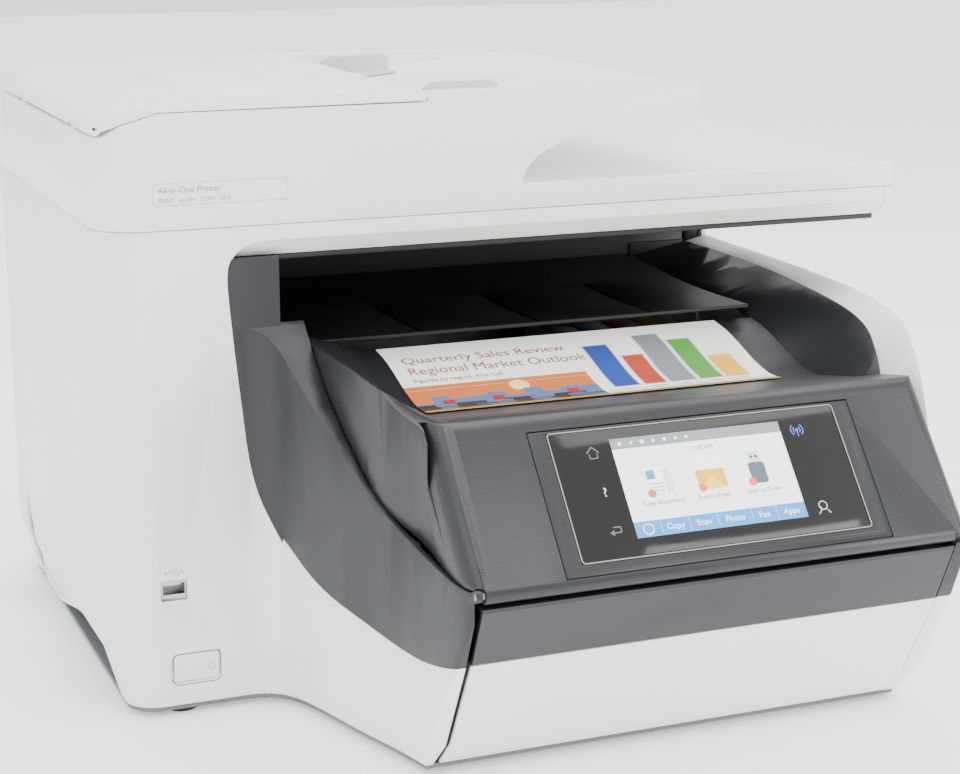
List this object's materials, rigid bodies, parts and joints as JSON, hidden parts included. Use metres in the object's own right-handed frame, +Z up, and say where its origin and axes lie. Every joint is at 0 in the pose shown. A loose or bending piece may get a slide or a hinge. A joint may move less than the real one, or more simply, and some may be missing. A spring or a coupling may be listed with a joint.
{
  "type": "inkjet printer",
  "caption": "Desktop all-in-one inkjet printer with document feeder, flatbed scanner lid, paper drawer, and a folding front door carrying a sloping touch panel.",
  "frame": {"origin": "on the table plane, under the middle of the machine's bounding box", "axes": "+Z up, +Y to the back, +X to the right seen from the front"},
  "size_m": [0.486, 0.5292, 0.3441],
  "materials": {
    "white_shell": "moulded ABS, fine matt texture",
    "white_lid": "moulded ABS, satin",
    "dark_shell": "moulded charcoal ABS, satin",
    "black_liner": "moulded black ABS, fine matt texture",
    "panel_weave": "moulded charcoal ABS with a fine square-dot grid",
    "black_glass": "polished touch glass, printed black behind",
    "grey_plastic": "moulded ABS",
    "light_grey": "moulded ABS",
    "paper": "printed plain paper",
    "rubber": "moulded rubber",
    "clear_glass": "float glass",
    "steel": "bright steel",
    "white_foam": "white foam-backed film",
    "brass": "cut brass",
    "circuit_board": "glass-epoxy board with green solder mask",
    "ink_black": "moulded polypropylene",
    "ink_cyan": "moulded polypropylene",
    "ink_magenta": "moulded polypropylene",
    "ink_yellow": "moulded polypropylene"
  },
  "bodies": {
    "root": {"base_pan": "grey_plastic", "case_screws": "steel", "cavity_liner": "black_liner", "chassis_plates": "steel", "door_hinge_pins": "steel", "feed_motor": "steel", "front_bezel": "white_shell", "guide_rail": "steel", "guide_shaft": "steel", "left_cheek": "dark_shell", "left_side_cover": "white_shell", "lid_hinges": "grey_plastic", "main_board": "circuit_board", "output_deck": "black_liner", "platen": "black_liner", "power_inlet": "black_liner", "power_supply": "black_liner", "rear_cover": "white_shell", "rear_ports": "black_liner", "right_cheek": "dark_shell", "right_side_cover": "white_shell", "rubber_feet": "rubber", "scan_rail": "steel", "scanner_case": "white_shell", "scanner_glass": "clear_glass", "scanner_top_frame": "white_shell", "scanner_underside": "black_liner", "usb_port": "steel"},
    "lid": {"lid_shell": "white_lid", "document_pad": "white_foam", "lid_hinge_pins": "steel"},
    "adf_drive": {"adf_drive_roller": "rubber"},
    "adf_cover": {"adf_cover": "white_lid", "adf_hinge_rods": "steel", "adf_pick_module": "grey_plastic"},
    "adf_pick": {"adf_pick_roller": "rubber"},
    "adf_guide_front": {"adf_guide_front": "light_grey"},
    "adf_guide_rear": {"adf_guide_rear": "light_grey"},
    "front_door": {"front_door": "dark_shell", "control_panel": "panel_weave", "display_glass": "black_glass", "display_module": "grey_plastic", "printed_sheet": "paper"},
    "drawer": {"drawer_front": "white_shell", "drawer_band": "dark_shell", "drawer_tray": "grey_plastic"},
    "width_guide_left": {"width_guide_left": "grey_plastic"},
    "width_guide_right": {"width_guide_right": "grey_plastic"},
    "length_guide": {"length_guide": "grey_plastic"},
    "carriage": {"carriage": "black_liner", "ink_cartridge_black": "ink_black", "ink_cartridge_cyan": "ink_cyan", "ink_cartridge_magenta": "ink_magenta", "ink_cartridge_yellow": "ink_yellow"},
    "scan_bar": {"scan_bar": "black_liner"},
    "power_button": {"power_button": "white_shell"},
    "rear_door": {"rear_access_door": "white_shell"},
    "feed_roller": {"feed_roller": "rubber"},
    "motor_pinion": {"motor_pinion": "brass"},
    "exit_roller": {"exit_roller": "rubber"}
  },
  "joints": [
    {"name": "lid_hinge", "type": "hinge", "parent": "root", "child": "lid", "pos_m": [0, 0.2445, 0.28], "axis": [-1, 0, 0], "range_deg": [0, 80]},
    {"name": "adf_drive_spin", "type": "hinge", "parent": "lid", "child": "adf_drive", "pos_m": [-0.183, 0.064, 0.315], "axis": [0, 1, 0], "continuous": true},
    {"name": "adf_cover_hinge", "type": "hinge", "parent": "lid", "child": "adf_cover", "pos_m": [-0.2396, 0.064, 0.3286], "axis": [0, -1, 0], "range_deg": [0, 60]},
    {"name": "adf_pick_spin", "type": "hinge", "parent": "adf_cover", "child": "adf_pick", "pos_m": [-0.082, 0.064, 0.3314], "axis": [0, 1, 0], "continuous": true},
    {"name": "adf_guide_slide", "type": "slide", "parent": "lid", "child": "adf_guide_front", "axis": [0, 1, 0], "range_m": [0, 0.055]},
    {"name": "adf_guide_rear_slide", "type": "slide", "parent": "lid", "child": "adf_guide_rear", "axis": [0, 1, 0], "range_m": [-0.055, 0]},
    {"name": "front_door_hinge", "type": "hinge", "parent": "root", "child": "front_door", "pos_m": [0.033, -0.2598, 0.1178], "axis": [1, 0, 0], "range_deg": [0, 75]},
    {"name": "drawer_slide", "type": "slide", "parent": "root", "child": "drawer", "axis": [0, -1, 0], "range_m": [0, 0.22]},
    {"name": "width_guide_slide", "type": "slide", "parent": "drawer", "child": "width_guide_left", "axis": [1, 0, 0], "range_m": [0, 0.05]},
    {"name": "width_guide_right_slide", "type": "slide", "parent": "drawer", "child": "width_guide_right", "axis": [1, 0, 0], "range_m": [-0.05, 0]},
    {"name": "length_guide_slide", "type": "slide", "parent": "drawer", "child": "length_guide", "axis": [0, 1, 0], "range_m": [0, 0.1]},
    {"name": "carriage_slide", "type": "slide", "parent": "root", "child": "carriage", "axis": [1, 0, 0], "range_m": [-0.18, 0.03]},
    {"name": "scan_bar_slide", "type": "slide", "parent": "root", "child": "scan_bar", "axis": [1, 0, 0], "range_m": [0, 0.335]},
    {"name": "power_button_press", "type": "slide", "parent": "root", "child": "power_button", "axis": [0, 1, 0], "range_m": [0, 0.001], "stiffness_N_per_m": 400, "springref_m": -0.0005},
    {"name": "rear_door_hinge", "type": "hinge", "parent": "root", "child": "rear_door", "pos_m": [-0.003, 0.257, 0.0665], "axis": [-1, 0, 0], "range_deg": [0, 90]},
    {"name": "feed_roller_spin", "type": "hinge", "parent": "root", "child": "feed_roller", "pos_m": [0.033, 0.042, 0.086], "axis": [1, 0, 0], "continuous": true},
    {"name": "motor_pinion_spin", "type": "hinge", "parent": "root", "child": "motor_pinion", "pos_m": [0.197, 0.0662, 0.086], "axis": [1, 0, 0], "continuous": true},
    {"name": "exit_roller_spin", "type": "hinge", "parent": "root", "child": "exit_roller", "pos_m": [0.033, -0.016, 0.092], "axis": [1, 0, 0], "continuous": true}
  ],
  "couplings": [
    {"joint": "adf_pick_spin", "follows": "adf_drive_spin", "ratio": 1},
    {"joint": "adf_guide_rear_slide", "follows": "adf_guide_slide", "ratio": -1},
    {"joint": "width_guide_right_slide", "follows": "width_guide_slide", "ratio": -1},
    {"joint": "motor_pinion_spin", "follows": "feed_roller_spin", "ratio": -3},
    {"joint": "exit_roller_spin", "follows": "feed_roller_spin", "ratio": 1}
  ]
}
